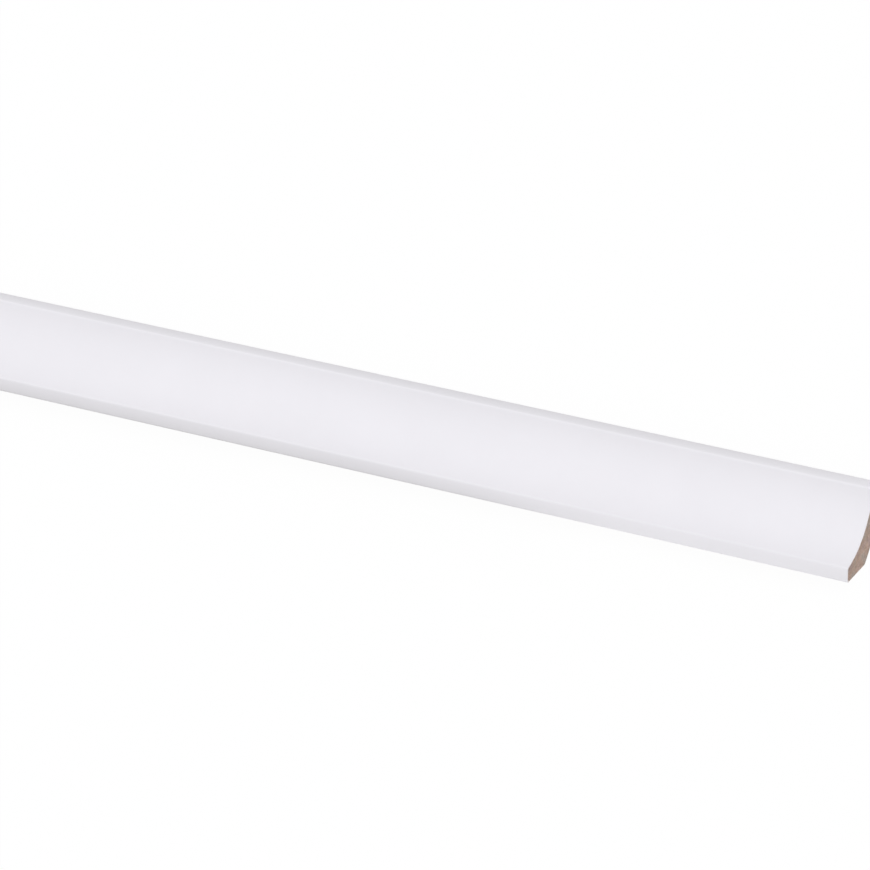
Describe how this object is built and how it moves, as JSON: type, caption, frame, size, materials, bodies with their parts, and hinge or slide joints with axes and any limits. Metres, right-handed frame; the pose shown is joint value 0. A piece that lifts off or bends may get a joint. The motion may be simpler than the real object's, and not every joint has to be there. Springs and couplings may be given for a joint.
{
  "type": "cove moulding",
  "caption": "Straight length of slim cove moulding for the corner between wall and ceiling: hollow white face between crowned lips, bevelled seats and a flat back.",
  "frame": {"origin": "middle of the flat back, halfway along the stock, where it lies on the floor", "axes": "+X along the stock, +Y across it from one seat to the other, +Z out of the back towards the cove"},
  "size_m": [2.4, 0.0308, 0.0119],
  "materials": {
    "white_foil": "satin white decor foil, glued over the cove and the lips and round the outer edges, about a millimetre on to each seat",
    "raw_fibreboard": "bare brown fibreboard of medium density, machined on the back and the seats and sawn at the ends"
  },
  "bodies": {
    "root": {"cove_moulding": "white_foil"}
  },
  "joints": []
}
